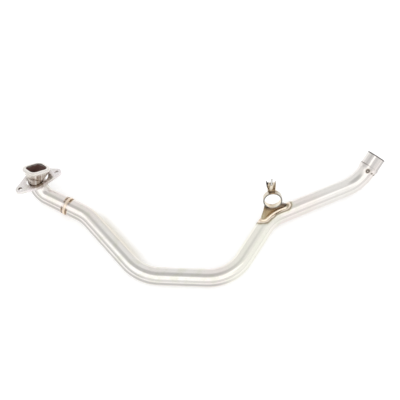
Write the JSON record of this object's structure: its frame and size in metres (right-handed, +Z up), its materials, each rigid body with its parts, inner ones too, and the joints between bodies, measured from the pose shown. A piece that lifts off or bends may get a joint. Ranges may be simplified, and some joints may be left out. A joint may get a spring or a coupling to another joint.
{
  "type": "motorcycle decat pipe",
  "caption": "Winding stainless exhaust link pipe with an oval-mouthed head port, a loose two-stud flange, a hanger ring on a pressed saddle and a plain sleeve at its outlet.",
  "frame": {"origin": "on the floor, in the middle of the pipe's footprint as it lies", "axes": "+X along the pipe's length, from the head port to the outlet; +Y across it; +Z up from the floor"},
  "size_m": [0.925, 0.3573, 0.1344],
  "materials": {
    "tube": "brushed stainless steel",
    "port": "pressed stainless steel",
    "plate": "laser-cut steel, rolled surface",
    "weld": "TIG weld bead with straw and brown heat tint",
    "hanger": "stainless steel, brushed",
    "saddle": "pressed stainless sheet with olive and brown heat tint",
    "clip": "folded stainless sheet with heat tint",
    "zinc": "zinc-plated steel"
  },
  "bodies": {
    "root": {"port_stub": "port", "head_flange": "plate", "header_pipe": "tube", "joint_bead": "weld", "main_pipe": "tube", "hanger_saddle": "saddle", "saddle_bead": "weld", "hanger_ring": "hanger", "ring_bead": "weld", "clip": "clip", "clip_bead": "weld", "clip_nut": "zinc", "clip_stud": "zinc", "outlet_collar": "tube", "outlet_spigot": "tube", "plug_weld": "weld", "tack_weld_1": "weld", "tack_weld_2": "weld"}
  },
  "joints": []
}
